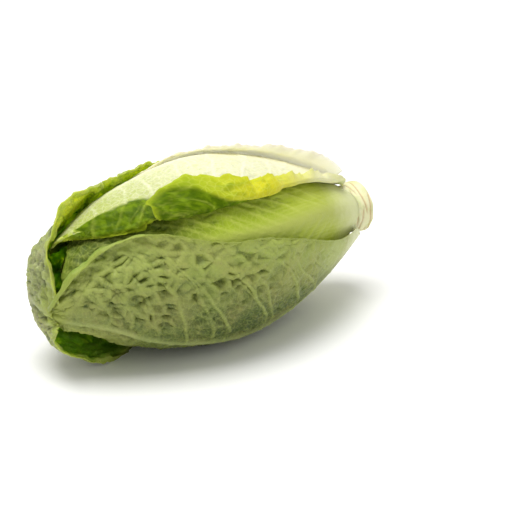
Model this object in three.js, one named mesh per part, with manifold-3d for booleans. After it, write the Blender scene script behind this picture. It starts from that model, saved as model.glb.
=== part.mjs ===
// A romaine lettuce head lying on its side: a short cut stem, eleven wrapped leaves and the dense heart.
// Millimetres, +Z up. The head's axis runs along X, with the cut stem at +X and the leaf tips at -X.
// Every leaf is laid out in "head space": how far along the head (0 at the leaf's own root, 1 at the head's
// tip), the azimuth round the axis (0 faces -Y, 90 faces up) and how deep below the head's skin it lies.
import * as THREE from 'three';
import { mergeVertices } from 'three/addons/utils/BufferGeometryUtils.js';
import Module from 'manifold-3d';

// ---- driving dimensions ----
const halfLength = 98.5; // from the middle to the root of the outermost leaf, and to the tip
const headRadius = 53; // at the belly, to the skin
const rootRadius = 15; // of the stem where the outermost leaf leaves it
const belly = 0.52; // share of the length where the head is widest
const tipPower = 1.75; // how blunt the tip end is
const rootPower = 1.85; // how full the root end is
const rootStep = 2.0; // each mm of depth starts a leaf this far up the stem
const rootTaper = 0.25; // and thins the stem by this much
const axisHeight = 52.6; // before the underside is pressed flat
const flatBelow = 3.0; // what would reach lower than this is pressed flat
const bladeThickness = 0.9;
const stemFace = 104; // X of the cut
const touchGap = 0.3;
const tipReach = 34; // a leaf that leans at its tip starts to lean this far from the axis
const rootRound = 0.045; // a leaf's margins start this share of the head above its rib

const rad = THREE.MathUtils.degToRad;
const clamp01 = (x) => Math.min(1, Math.max(0, x));
const smooth = (a, b, x) => {
  const t = clamp01((x - a) / (b - a));
  return t * t * (3 - 2 * t);
};
const mix = (a, b, t) => a + (b - a) * t;

// A value that follows hand-set stations [share, value] along the head, on one smooth curve.
function track(stations) {
  if (typeof stations === 'number') return () => stations;
  const slope = stations.map(([x, y], i) => {
    const [xa, ya] = stations[Math.max(0, i - 1)];
    const [xb, yb] = stations[Math.min(stations.length - 1, i + 1)];
    return (yb - ya) / (xb - xa);
  });
  return (x) => {
    if (x <= stations[0][0]) return stations[0][1];
    const last = stations.length - 1;
    if (x >= stations[last][0]) return stations[last][1];
    const i = stations.findIndex(([at]) => at > x) - 1;
    const [xa, ya] = stations[i];
    const [xb, yb] = stations[i + 1];
    const span = xb - xa;
    const t = (x - xa) / span;
    const t2 = t * t;
    const t3 = t2 * t;
    return (
      ya * (2 * t3 - 3 * t2 + 1) +
      slope[i] * span * (t3 - 2 * t2 + t) +
      yb * (3 * t2 - 2 * t3) +
      slope[i + 1] * span * (t3 - t2)
    );
  };
}

// ---- head space ----
function radiusAt(along, depth) {
  const big = headRadius - depth;
  const small = rootRadius - rootTaper * depth;
  if (along < belly) {
    return small + (big - small) * (1 - Math.pow((belly - along) / belly, rootPower));
  }
  return big * Math.sqrt(Math.max(0, 1 - Math.pow((along - belly) / (1 - belly), tipPower)));
}

function headPoint(along, azimuth, depth) {
  const root = halfLength - rootStep * depth;
  const tip = -halfLength + depth;
  const r = radiusAt(along, depth);
  const a = rad(azimuth);
  return new THREE.Vector3(
    root + (tip - root) * along,
    -r * Math.cos(a),
    axisHeight + r * Math.sin(a),
  );
}

// The head's own weight presses its underside flat, and the blade keeps its thickness there.
function rest(point, above = 0) {
  point.z = Math.max(above, point.z - flatBelow);
  return point;
}

// ---- one leaf as a sheet ----
// Across a leaf, the way from the rib to the margin is flat, then an arc that turns outwards, then a flap.
const arcLength = 6;
const flatShare = 0.7; // share of the columns on the flat part, and on the arc
const arcShare = 0.15;

// A hanging margin rises to a crest between these shares of the way across, and then falls by this many
// times the crest's own height.
const crestFrom = 0.35;
const crestTo = 0.58;
const crestFall = 2.4;

function acrossSide(side, u, along, r, rib) {
  const reach = Math.abs(side.edge(along) - rib) * rad(1) * r;
  const turn = rad(side.turn(along));
  const flap = Math.min(side.flap(along), 0.4 * reach);
  const arc = Math.min(arcLength, 0.2 * reach);
  const bend = turn > 0.02 ? arc / turn : 0;
  const start = reach - mix(arc + flap, Math.max(bend, 0.1 * arc), clamp01(turn / rad(90)));
  if (u <= flatShare) return [(start * u) / flatShare, 0, 0];
  const s = arc * clamp01((u - flatShare) / arcShare);
  const free = clamp01((u - flatShare - arcShare) / (1 - flatShare - arcShare));
  const rest = flap * free;
  if (!bend) return [start + s + rest, 0, 0];
  return [
    start + bend * Math.sin(s / bend) + rest * Math.cos(turn),
    bend * (1 - Math.cos(s / bend)) + rest * Math.sin(turn),
    free * clamp01(turn / rad(90)),
  ];
}

function leafPoint(leaf, u, v) {
  const side = u < 0 ? leaf.low : leaf.high;
  const a = Math.abs(u);
  const drop = leaf.round * Math.pow(a, 2.4) * smooth(0.45, 1, v);
  const clasp = rootRound * Math.pow(a, 3) * Math.pow(1 - v, 6);
  const along = leaf.end * v - drop + clasp;
  const depth = leaf.depth(along);
  const r = Math.max(radiusAt(along, depth), 4);
  const rib = leaf.rib(along);
  const [across, out, folded] = acrossSide(side, a, along, r, rib);
  const swing = Math.sin(2 * Math.PI * (leaf.waves * v + 0.13 * leaf.seed));
  const wave = leaf.wave * Math.pow(a, 3) * (1 + swing);
  const crest = smooth(crestFrom, crestTo, a) - crestFall * clamp01((a - crestTo) / (1 - crestTo));
  const stand = side.lift(along) * Math.pow(a, 3) + side.hang(along) * crest;
  const lift = stand + out + wave * smooth(0, 0.3, v);
  const azimuth = rib + (Math.sign(u) * across) / (rad(1) * r);
  const point = headPoint(along + side.lean(along) * folded, azimuth, depth - lift);
  point.z -= leaf.sag * smooth(belly, 1, along);
  const near = along > belly ? clamp01(1 - r / tipReach) : 0;
  return point.addScaledVector(leaf.tipShift, near * near * (3 - 2 * near));
}

function thicknessAt(leaf, u, v) {
  const point = Math.abs(u) * radiusAt(leaf.end * v, leaf.depth(leaf.end * v)) * 1.4;
  const width = mix(9, 2.2, Math.sqrt(v));
  const height = leaf.ribHeight * Math.pow(1 - v, 1.2) + 0.35;
  return bladeThickness + height * Math.exp(-Math.pow(point / width, 2));
}

// Columns and rows lie closer together at the margin and at the tip.
const columnsOf = (n) => Array.from({ length: n + 1 }, (_, i) => -1 + (2 * i) / n);
const rowsOf = (n) => Array.from({ length: n + 1 }, (_, i) => Math.pow(i / n, 0.85));

// The inner face is the sheet, and the outer face stands off it by the blade's thickness. Both faces are
// split into triangles alike.
function leafGeometry(leaf) {
  const us = columnsOf(leaf.columns);
  const vs = rowsOf(leaf.rows);
  const wide = us.length;
  const sheet = vs.flatMap((v) => us.map((u) => leafPoint(leaf, u, v)));
  const faces = [];
  for (let j = 0; j < vs.length - 1; j++) {
    for (let i = 0; i < wide - 1; i++) {
      const a = j * wide + i;
      const quad = [a, a + 1, a + wide + 1, a + wide];
      const [p, q, r, s] = (i + j) % 2 ? quad : [quad[1], quad[2], quad[3], quad[0]];
      faces.push([p, q, r], [p, r, s]);
    }
  }
  const sheetGeometry = new THREE.BufferGeometry().setFromPoints(sheet);
  sheetGeometry.setIndex(faces.flat());
  sheetGeometry.computeVertexNormals();
  const normals = sheetGeometry.getAttribute('normal');
  const thickness = sheet.map((_, k) => thicknessAt(leaf, us[k % wide], vs[Math.floor(k / wide)]));
  const outer = sheet.map((point, k) => {
    const normal = new THREE.Vector3().fromBufferAttribute(normals, k);
    return rest(point.clone().addScaledVector(normal, thickness[k]));
  });
  const inner = sheet.map((point, k) => rest(point, thickness[k]));
  const count = sheet.length;
  const index = [];
  for (const [p, q, r] of faces) index.push(p + count, q + count, r + count, p, r, q);
  const last = (vs.length - 1) * wide;
  const border = [
    ...us.keys().map((i) => i),
    ...Array.from({ length: vs.length - 1 }, (_, j) => (j + 1) * wide + wide - 1),
    ...Array.from({ length: wide - 1 }, (_, i) => last + wide - 2 - i),
    ...Array.from({ length: vs.length - 2 }, (_, j) => last - (j + 1) * wide),
  ];
  border.forEach((p, k) => {
    const q = border[(k + 1) % border.length];
    index.push(p, q, q + count, p, q + count, p + count);
  });
  const geometry = new THREE.BufferGeometry().setFromPoints([...inner, ...outer]);
  geometry.setIndex(index);
  return geometry;
}

// ---- the leaves, from the outermost in ----
// A side's tracks along the head: the margin's azimuth, how far the margin turns back (degrees), how wide
// the turned flap is (mm), how far it leans towards the tip (share of the head), how far it stands off (mm)
// and how high the crest is that it hangs from (mm).
const side = ({ edge, turn = 0, flap = 3, lean = 0, lift = 0, hang = 0 }) => ({
  edge: track(edge),
  turn: track(turn),
  flap: track(flap),
  lean: track(lean),
  lift: track(lift),
  hang: track(hang),
});

function leaf(spec) {
  return {
    ...spec,
    depth: track(spec.depth),
    rib: track(spec.rib),
    low: side(spec.low),
    high: side(spec.high),
    ribHeight: spec.ribHeight ?? 1.4,
    wave: spec.wave ?? 0.3,
    waves: spec.waves ?? 5,
    round: spec.round ?? 0.05,
    tipShift: new THREE.Vector3(...(spec.tipShift ?? [0, 0, 0])),
    sag: spec.sag ?? 0,
    columns: spec.columns ?? 14,
    rows: spec.rows ?? 16,
  };
}

const leaves = [
  leaf({
    name: 'outer_leaf_under',
    seed: 1,
    colour: 0x86a055,
    depth: [[0, -2], [0.5, -2], [0.66, -2.2], [0.75, -4.5], [0.85, -8.5], [0.93, -13], [1, -14]],
    rib: [[0, 222], [0.5, 212], [0.85, 202], [1, 190]],
    low: {
      edge: [
        [0, 165], [0.3, 150], [0.5, 138], [0.62, 131], [0.7, 129],
        [0.745, 125], [0.785, 110], [0.85, 106], [1, 100],
      ],
      lift: [[0.3, 0], [0.7, 1], [0.8, 2], [0.87, 3], [0.93, -4], [1, -3]],
      hang: [[0.78, 0], [0.9, -4], [0.96, -3], [1, 0]],
    },
    high: {
      edge: [[0, 250], [0.3, 246], [0.6, 246], [0.7, 256], [0.78, 268], [0.86, 276], [0.93, 278], [1, 276]],
      lift: [[0.7, 0], [0.88, 2], [1, 0]],
    },
    end: 0.997,
    round: 0,
    ribHeight: 2,
    tipShift: [6, -15, -7],
    sag: 3,
    wave: 0.5,
    columns: 18,
    rows: 22,
  }),
  leaf({
    name: 'outer_leaf_back',
    seed: 2,
    colour: 0xdbe0a8,
    depth: 1.2,
    rib: [[0, 160], [1, 172]],
    low: {
      edge: [[0, 108], [0.1, 92], [0.3, 98], [0.45, 106], [0.6, 130], [0.7, 150]],
      lift: [[0, 3], [0.15, 6.5], [0.35, 3], [0.6, 0.5]],
    },
    high: { edge: [[0, 208], [0.4, 222], [0.7, 200]] },
    end: 0.7,
    ribHeight: 1.2,
  }),
  leaf({
    name: 'outer_leaf_front',
    seed: 3,
    colour: 0x8fa75d,
    depth: [[0, 1.6], [0.5, 2.4], [1, 1.4]],
    rib: [[0, -64], [0.3, -59], [0.5, -54], [0.8, -47], [0.9, -40], [1, -30]],
    low: {
      edge: [
        [0, -124], [0.3, -131], [0.6, -135], [0.8, -112],
        [0.92, -91], [0.97, -86], [0.99, -80], [1, -74],
      ],
    },
    high: {
      edge: [
        [0, -12], [0.15, -2], [0.3, 12], [0.5, 24], [0.65, 31], [0.75, 40],
        [0.85, 50], [0.94, 53], [0.97, 52], [0.99, 48], [1, 42],
      ],
      turn: [[0.45, 0], [0.7, 40], [0.85, 110], [1, 150]],
      flap: [[0.5, 2.6], [1, 2.6]],
    },
    end: 0.994,
    round: 0,
    ribHeight: 2,
    tipShift: [-6, -1, -8],
    columns: 18,
    rows: 20,
  }),
  leaf({
    name: 'outer_leaf_top',
    seed: 4,
    colour: 0xd3dd9c,
    depth: [[0, 2.4], [0.14, 3.8], [0.5, 4], [0.72, 3.4], [0.84, 1.2], [1, 1]],
    rib: [[0, 104], [0.6, 112], [0.8, 110], [1, 116]],
    low: {
      edge: [[0, 66], [0.12, 62], [0.33, 52], [0.5, 47], [0.7, 49], [0.84, 57], [0.91, 72], [0.97, 108]],
      turn: [[0.04, 0], [0.14, 160], [0.73, 160], [0.77, 120], [0.79, 0]],
      flap: [[0.1, 3], [0.3, 5], [0.42, 7], [0.5, 9], [0.56, 15], [0.68, 20], [0.73, 8], [0.76, 1]],
      lean: [[0.5, 0], [0.6, 0.03], [0.69, 0.08], [0.74, 0.03], [0.76, 0]],
      hang: [[0.74, 0], [0.82, 2], [0.97, 2]],
    },
    high: { edge: [[0, 150], [0.4, 166], [0.8, 172], [1, 160]] },
    end: 0.968,
    round: 0.03,
    tipShift: [-8, -2, 9],
    columns: 20,
    rows: 24,
  }),
  leaf({
    name: 'middle_leaf',
    seed: 5,
    colour: 0xa9bd6b,
    depth: [[0, 3.6], [0.14, 6.8], [1, 6.8]],
    rib: [[0, 30], [0.5, 27], [1, 40]],
    low: { edge: [[0, -30], [0.4, -55], [0.8, -60], [1, -40]] },
    high: { edge: [[0, 86], [0.4, 98], [0.8, 110], [1, 120]] },
    end: 0.99,
    round: 0.06,
    tipShift: [-9, 2, 2],
  }),
];

// The inner leaves follow each other by the golden angle, each one deeper than the last.
const goldenAngle = 137.5;
const innerLeaves = 6;
const innerDepth = 9.4;
const innerSpacing = 2.9;
for (let k = 0; k < innerLeaves; k++) {
  const rib = 30 + goldenAngle * (k + 1);
  const depth = innerDepth + innerSpacing * k;
  leaves.push(
    leaf({
      name: `inner_leaf_${k + 1}`,
      seed: 6 + k,
      colour: new THREE.Color(0xa3bb62).lerp(new THREE.Color(0xdfe09a), k / innerLeaves),
      depth,
      rib,
      low: { edge: [[0, rib - 55], [0.4, rib - 80], [0.8, rib - 88], [1, rib - 70]] },
      high: { edge: [[0, rib + 55], [0.4, rib + 80], [0.8, rib + 88], [1, rib + 70]] },
      end: 0.97 - 0.012 * ((k * 2) % 3),
      ribHeight: 1.1,
      tipShift: [-3.7 - 0.7 * k, 0, 0],
      columns: 12,
      rows: 12,
    }),
  );
}

// ---- the stem ----
// It thins up the head, just clear of each leaf's root. Its low end is the flat cut.
const stemTop = 40; // X of the end that the leaves hide
const stemTopRound = 4; // how far that end is rounded off
const cutBevel = 2; // along the stem, at the cut
const cutBevelDepth = 0.6;
const stemSides = 28;
const stemRadius = (x) => rootRadius - rootTaper * ((halfLength - x) / rootStep) - touchGap;

function latheAlongHead(profile, sides) {
  const outline = profile.map(([radius, x]) => new THREE.Vector2(radius, x));
  const geometry = new THREE.LatheGeometry(outline, sides);
  geometry.rotateZ(-Math.PI / 2);
  geometry.translate(0, 0, axisHeight - flatBelow);
  return geometry;
}

function stemGeometry() {
  const cutEdge = stemFace - cutBevel;
  const side = [stemTop + stemTopRound, 60, 80, 98, cutEdge].map((x) => [stemRadius(x), x]);
  const profile = [
    [0, stemTop],
    [0.7 * stemRadius(stemTop), stemTop],
    ...side,
    [stemRadius(cutEdge) - cutBevelDepth, stemFace],
    [0, stemFace],
  ];
  return latheAlongHead(profile, stemSides);
}

// ---- the heart: a dense core with its own small leaves standing out of it ----
const coreDepth = 30;
const coreSteps = 14;
const coreSides = 20;
const coreEnds = 0.3; // the share of a step that its blunt ends keep clear of the pole

function coreGeometry() {
  const root = headPoint(0, 0, coreDepth).x;
  const tip = headPoint(1, 0, coreDepth).x;
  const rings = Array.from({ length: coreSteps }, (_, k) => {
    const along = (coreSteps - 1 - k + coreEnds) / (coreSteps - 0.4);
    return [radiusAt(along, coreDepth), root + (tip - root) * along];
  });
  return latheAlongHead([[0, tip], ...rings, [0, rings[coreSteps - 1][1]]], coreSides);
}

const wasm = await Module();
wasm.setup();

function solidOf(geometry) {
  const bare = new THREE.BufferGeometry();
  bare.setAttribute('position', geometry.getAttribute('position').clone());
  bare.setIndex(geometry.index ? geometry.index.clone() : null);
  const merged = mergeVertices(bare, 1e-4);
  return new wasm.Manifold(
    new wasm.Mesh({
      numProp: 3,
      vertProperties: merged.getAttribute('position').array,
      triVerts: new Uint32Array(merged.index.array),
    }),
  );
}

function geometryOf(solid) {
  const mesh = solid.getMesh();
  const geometry = new THREE.BufferGeometry();
  geometry.setAttribute('position', new THREE.BufferAttribute(new Float32Array(mesh.vertProperties), 3));
  geometry.setIndex(new THREE.BufferAttribute(new Uint32Array(mesh.triVerts), 1));
  return geometry;
}

const heartLeaves = 7;
function heartGeometry() {
  let heart = solidOf(coreGeometry());
  for (let k = 0; k < heartLeaves; k++) {
    const rib = 75 + goldenAngle * k;
    const small = leaf({
      seed: 20 + k,
      depth: [
        [0, coreDepth + 2],
        [0.45, coreDepth + 1],
        [0.8, coreDepth - 1.6 - 0.3 * k],
        [1, coreDepth - 2 - 0.4 * k],
      ],
      rib,
      low: { edge: [[0, rib - 20], [0.7, rib - 42], [1, rib - 30]] },
      high: { edge: [[0, rib + 20], [0.7, rib + 42], [1, rib + 30]] },
      end: 0.93,
      ribHeight: 0.4,
      columns: 6,
      rows: 8,
    });
    heart = heart.add(solidOf(leafGeometry(small)));
  }
  // What the fusing seals is filled, and loose scraps are dropped.
  const bodies = heart.decompose().sort((a, b) => b.volume() - a.volume());
  return geometryOf(bodies[0]);
}

// ---- the assembly ----
const head = new THREE.Group();

function add(name, geometry, colour) {
  geometry.computeVertexNormals();
  const material = new THREE.MeshStandardMaterial({ color: colour, roughness: 0.5, metalness: 0 });
  const mesh = new THREE.Mesh(geometry, material);
  mesh.name = name;
  head.add(mesh);
}

for (const spec of leaves) add(spec.name, leafGeometry(spec), spec.colour);
add('stem', stemGeometry(), 0xe6e2bd);
add('heart', heartGeometry(), 0xe3e3a0);

// The origin is under the middle of the whole head, on the surface that it lies on.
const reach = new THREE.Box3().setFromObject(head);
const middle = reach.getCenter(new THREE.Vector3());
head.position.set(-middle.x, -middle.y, -reach.min.z);

export default head;
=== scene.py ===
import math

import bpy
import numpy as np
from mathutils import Matrix, Vector


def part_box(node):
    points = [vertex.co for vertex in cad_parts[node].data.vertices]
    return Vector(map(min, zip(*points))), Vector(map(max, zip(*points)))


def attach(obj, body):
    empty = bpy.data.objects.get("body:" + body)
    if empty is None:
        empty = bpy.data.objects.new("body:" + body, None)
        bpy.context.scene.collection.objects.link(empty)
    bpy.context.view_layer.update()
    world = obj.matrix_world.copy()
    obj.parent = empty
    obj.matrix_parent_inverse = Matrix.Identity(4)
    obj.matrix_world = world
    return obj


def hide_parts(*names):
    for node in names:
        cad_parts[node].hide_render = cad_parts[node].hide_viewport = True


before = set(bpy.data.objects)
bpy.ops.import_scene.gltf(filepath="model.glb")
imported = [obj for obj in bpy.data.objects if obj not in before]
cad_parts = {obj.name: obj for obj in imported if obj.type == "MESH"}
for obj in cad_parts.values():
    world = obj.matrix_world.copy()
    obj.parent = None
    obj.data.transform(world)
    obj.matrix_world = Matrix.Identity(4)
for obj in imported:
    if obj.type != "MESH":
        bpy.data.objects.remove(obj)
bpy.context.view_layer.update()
mm = 0.001
goldenAngle = 137.5  # what one leaf turns on from the last
print("stage: frame loaded, nodes", len(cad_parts))

# Lengths in the dictionaries are millimetres, angles are degrees, and "share" runs from a leaf's root to the
# head's tip. A leaf is laid out in head space: share along the head, azimuth round its axis (0 faces -Y, 90
# faces up) and depth below the head's skin, as its solid is.
head = {
    "halfLength": 98.5, "radius": 53.0, "rootRadius": 15.0, "belly": 0.52,
    "tipPower": 1.75, "rootPower": 1.85, "rootStep": 2.0, "rootTaper": 0.25,
    "pressed": 3.0,  # what would reach lower than this is pressed flat
    "stemFace": 104.0, "tipReach": 34.0, "rootRound": 0.045, "slimmest": 4.0,
}
stemLow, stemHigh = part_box("stem")
axisMiddle = (stemLow + stemHigh) / 2 / mm  # the solid stem is round, so its box gives the head's axis
headShift = np.array([stemHigh.x / mm - head["stemFace"], axisMiddle.y, 0.0])
axisHeight = axisMiddle.z + head["pressed"]


# ---- shaping by numbers ----
def clamp01(x):
    return np.clip(x, 0.0, 1.0)


def smooth(low, high, x):
    t = clamp01((x - low) / (high - low))
    return t * t * (3 - 2 * t)


def mix(a, b, t):
    return a + (b - a) * t


def track(stations):  # a smooth curve through given stations (share, value)
    if isinstance(stations, (int, float)):
        return lambda x: np.full(np.shape(x), float(stations))
    xs, ys = np.array(stations, float).T
    order = np.arange(len(xs))
    before, after = np.maximum(order - 1, 0), np.minimum(order + 1, len(xs) - 1)
    slopes = (ys[after] - ys[before]) / (xs[after] - xs[before])

    def value(x):
        x = np.clip(x, xs[0], xs[-1])
        i = np.clip(np.searchsorted(xs, x, side="right") - 1, 0, len(xs) - 2)
        span = xs[i + 1] - xs[i]
        t = (x - xs[i]) / span
        return (
            ys[i] * (2 * t**3 - 3 * t**2 + 1)
            + slopes[i] * span * (t**3 - 2 * t**2 + t)
            + ys[i + 1] * (3 * t**2 - 2 * t**3)
            + slopes[i + 1] * span * (t**3 - t**2)
        )

    return value


def ripple(x, seed, waves=(1.0, 2.3, 4.1), strengths=(1.0, 0.6, 0.35)):  # uneven waves, -1 to 1 or so
    turns = np.random.default_rng(seed).uniform(0, 2 * math.pi, len(waves))
    waving = sum(s * np.sin(2 * math.pi * w * x + p) for w, s, p in zip(waves, strengths, turns))
    return waving / sum(strengths)


def radiusAt(along, depth):
    big = head["radius"] - depth
    small = head["rootRadius"] - head["rootTaper"] * depth
    belly = head["belly"]
    rootSide = clamp01((belly - along) / belly) ** head["rootPower"]
    tipSide = clamp01((along - belly) / (1 - belly)) ** head["tipPower"]
    return np.where(along < belly, small + (big - small) * (1 - rootSide), big * np.sqrt(1 - tipSide))


def headPoint(along, azimuth, depth):
    root = head["halfLength"] - head["rootStep"] * depth
    tip = -head["halfLength"] + depth
    r, a = radiusAt(along, depth), np.radians(azimuth)
    return np.stack([root + (tip - root) * along, -r * np.cos(a), axisHeight + r * np.sin(a)], -1)


# ---- a leaf as a sheet of points ----
flatShare, arcShare, arcLength = 0.7, 0.15, 6.0  # across: flat, then an arc that turns outwards, then a flap
flapMost, arcMost = 0.4, 0.2  # shares of a side's reach that flap and arc may take
leastTurn = 0.02  # radians; a margin that turns less counts as flat
crestFrom, crestTo, crestFall = 0.35, 0.58, 2.4  # across: a hanging margin rises to its crest, then falls
bandFrom, bandStepTo = 0.72, 0.78  # across: where the band beside a folded margin is whole, and its step


def acrossSide(side, u, along, r, rib):
    reach = np.abs(side["edge"](along) - rib) * math.radians(1) * r
    turn = np.radians(side["turn"](along))
    flap = np.minimum(side["flap"](along), flapMost * reach)
    arc = np.minimum(arcLength, arcMost * reach)
    bent = turn > leastTurn
    bend = np.where(bent, arc / np.maximum(turn, leastTurn), 0)
    share = clamp01(turn / math.radians(90))
    start = reach - (arc + flap) * (1 - share) - np.maximum(bend, 0.1 * arc) * share * smooth(0, 0.35, turn)
    s = arc * clamp01((u - flatShare) / arcShare)
    free = clamp01((u - flatShare - arcShare) / (1 - flatShare - arcShare))
    rest = flap * free
    angle = s / np.maximum(bend, 1e-6)
    across = np.where(bent, start + bend * np.sin(angle) + rest * np.cos(turn), start + s + rest)
    out = np.where(bent, bend * (1 - np.cos(angle)) + rest * np.sin(turn), 0)
    flat = u <= flatShare
    folded = np.where(bent & ~flat, free * share, 0)
    return np.where(flat, start * u / flatShare, across), np.where(flat, 0, out), folded


def leafSide(edge, turn=0, flap=3, lean=0, lift=0, hang=0):
    told = {"edge": edge, "turn": turn, "flap": flap, "lean": lean, "lift": lift, "hang": hang}
    return {name: track(value) for name, value in told.items()}


def sheetPoints(leaf, u, v):  # u from -1 to 1 across, v from 0 to 1 along
    a = np.abs(u)
    drop = leaf["round"] * a**2.4 * smooth(0.45, 1, v)
    clasp = head["rootRound"] * a**3 * (1 - v) ** 6
    along = leaf["end"] * v - drop + clasp
    depth, rib = leaf["depth"](along), leaf["rib"](along)
    r = np.maximum(radiusAt(along, depth), head["slimmest"])
    isLow = u < 0
    low = acrossSide(leaf["low"], a, along, r, rib)
    high = acrossSide(leaf["high"], a, along, r, rib)
    across, out, folded = (np.where(isLow, x, y) for x, y in zip(low, high))
    lean, stand, hang = (np.where(isLow, leaf["low"][name](along), leaf["high"][name](along))
                         for name in ("lean", "lift", "hang"))
    crest = smooth(crestFrom, crestTo, a) - crestFall * clamp01((a - crestTo) / (1 - crestTo))
    wave = leaf["wave"] * a**3 * (1 + np.sin(2 * math.pi * (leaf["waves"] * v + 0.13 * leaf["seed"])))
    lift = stand * a ** leaf["liftPower"] + out + wave * smooth(0, 0.3, v) + hang * crest
    azimuth = rib + np.sign(u) * across / (math.radians(1) * r)
    points = headPoint(along + lean * folded, azimuth, depth - lift)
    points[..., 2] -= leaf["sag"] * smooth(head["belly"], 1, along)
    near = np.where(along > head["belly"], clamp01(1 - r / head["tipReach"]), 0)
    points += np.array(leaf["tipShift"]) * (near * near * (3 - 2 * near))[..., None]
    return points, along, folded


def unit(vectors):
    return vectors / np.maximum(np.linalg.norm(vectors, axis=-1, keepdims=True), 1e-9)


def gridNormals(points):
    return unit(np.cross(np.gradient(points, axis=1), np.gradient(points, axis=0)))


def columnShares(half, flapColumns):  # more columns where the margin is rolled or folded
    fine = round(half * flapColumns)
    inner = np.linspace(0, flatShare, half - fine + 1)
    outer = np.linspace(flatShare, 1, fine + 1)[1:]
    right = np.concatenate([inner, outer])
    return np.concatenate([-right[:0:-1], right])


# ---- node trees ----
class Wire:  # a node's socket that can be reckoned with, or a tree to make the first node in
    def __init__(self, tree, socket=None):
        self.tree, self.socket = tree, socket

    def node(self, kind, settings=None, inputs=None, output=0):
        made = self.tree.nodes.new(kind)
        for name, value in (settings or {}).items():
            setattr(made, name, value)
        for name, value in (inputs or {}).items():
            if isinstance(value, Wire):
                self.tree.links.new(value.socket, made.inputs[name])
            else:
                made.inputs[name].default_value = value
        return Wire(self.tree, made.outputs[output] if made.outputs else None)

    def math(self, operation, first, second=0.0):
        return self.node("ShaderNodeMath", {"operation": operation}, {0: first, 1: second})

    def __add__(self, other):
        return self.math("ADD", self, other)

    def __sub__(self, other):
        return self.math("SUBTRACT", self, other)

    def __rsub__(self, other):
        return self.math("SUBTRACT", other, self)

    def __mul__(self, other):
        return self.math("MULTIPLY", self, other)

    def __truediv__(self, other):
        return self.math("DIVIDE", self, other)

    def __rtruediv__(self, other):
        return self.math("DIVIDE", other, self)

    __radd__, __rmul__ = __add__, __mul__

    def step(self, low, high):  # 0 below low, 1 above high, smooth between
        ends = {0: self, 1: low, 2: high, 3: 0.0, 4: 1.0}
        return self.node("ShaderNodeMapRange", {"interpolation_type": "SMOOTHSTEP"}, ends)

    def larger(self, other):
        return self.math("MAXIMUM", self, other)

    def blend(self, first, second, factor):  # one colour turning into another
        return self.node("ShaderNodeMix", {"data_type": "RGBA"}, {0: factor, 6: first, 7: second}, 2)

    def vector(self, operation, first, second):
        return self.node("ShaderNodeVectorMath", {"operation": operation}, {0: first, 1: second})

    def noise(self, place, scale, detail=2.0, output=0):
        told = {"Vector": place, "Scale": scale, "Detail": detail}
        return self.node("ShaderNodeTexNoise", {}, told, output)

    def layer(self, name, output="Fac"):  # what the mesh carries under this name, for a material
        return self.node("ShaderNodeAttribute", {"attribute_name": name}, {}, output)


def newMaterial(name):
    material = bpy.data.materials.new(name)
    material.use_nodes = True
    material.node_tree.nodes.clear()
    return material, Wire(material.node_tree)


def painted(material, finish):  # the material, showing one shader with this finish
    make = Wire(material.node_tree)
    skin = make.node("ShaderNodeBsdfPrincipled", {}, finish)
    make.node("ShaderNodeOutputMaterial", {}, {"Surface": skin})
    return material


def newGroup(name, sockets):  # a modifier's tree, with its inputs by name
    tree = bpy.data.node_groups.new(name, "GeometryNodeTree")
    tree.is_modifier = True
    for socket, kind in {"Geometry": "Geometry", **sockets, "material": "Material"}.items():
        tree.interface.new_socket(socket, in_out="INPUT", socket_type=f"NodeSocket{kind}")
    tree.interface.new_socket("Geometry", in_out="OUTPUT", socket_type="NodeSocketGeometry")
    given = tree.nodes.new("NodeGroupInput")
    return Wire(tree), {socket.name: Wire(tree, socket) for socket in given.outputs}


def endGroup(geometry, material):  # the tree hands out plain geometry in its material
    make = Wire(geometry.tree)
    geometry = make.node("GeometryNodeRealizeInstances", {}, {"Geometry": geometry})
    geometry = make.node("GeometryNodeSetMaterial", {}, {"Geometry": geometry, "Material": material})
    make.node("NodeGroupOutput", {}, {0: geometry})
    return geometry.tree


def colourOf(text):  # "aabbcc" as it looks on a screen, to the linear numbers that a shader takes
    parts = [int(text[i:i + 2], 16) / 255 for i in (0, 2, 4)]
    return (*(c / 12.92 if c <= 0.04045 else ((c + 0.055) / 1.055) ** 2.4 for c in parts), 1.0)


# ---- blisters and veins, raised on a leaf's sheet ----
reliefSizes = (
    "cellLength", "cellWidth", "warp", "warpSize", "wall", "hollowDepth", "ridgeHeight", "swellSize",
    "swellHeight", "dashLength", "dashWidth", "dashDepth", "creaseSize", "creaseDepth", "veinHeight",
    "fineSize", "fineHeight",
)


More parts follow.
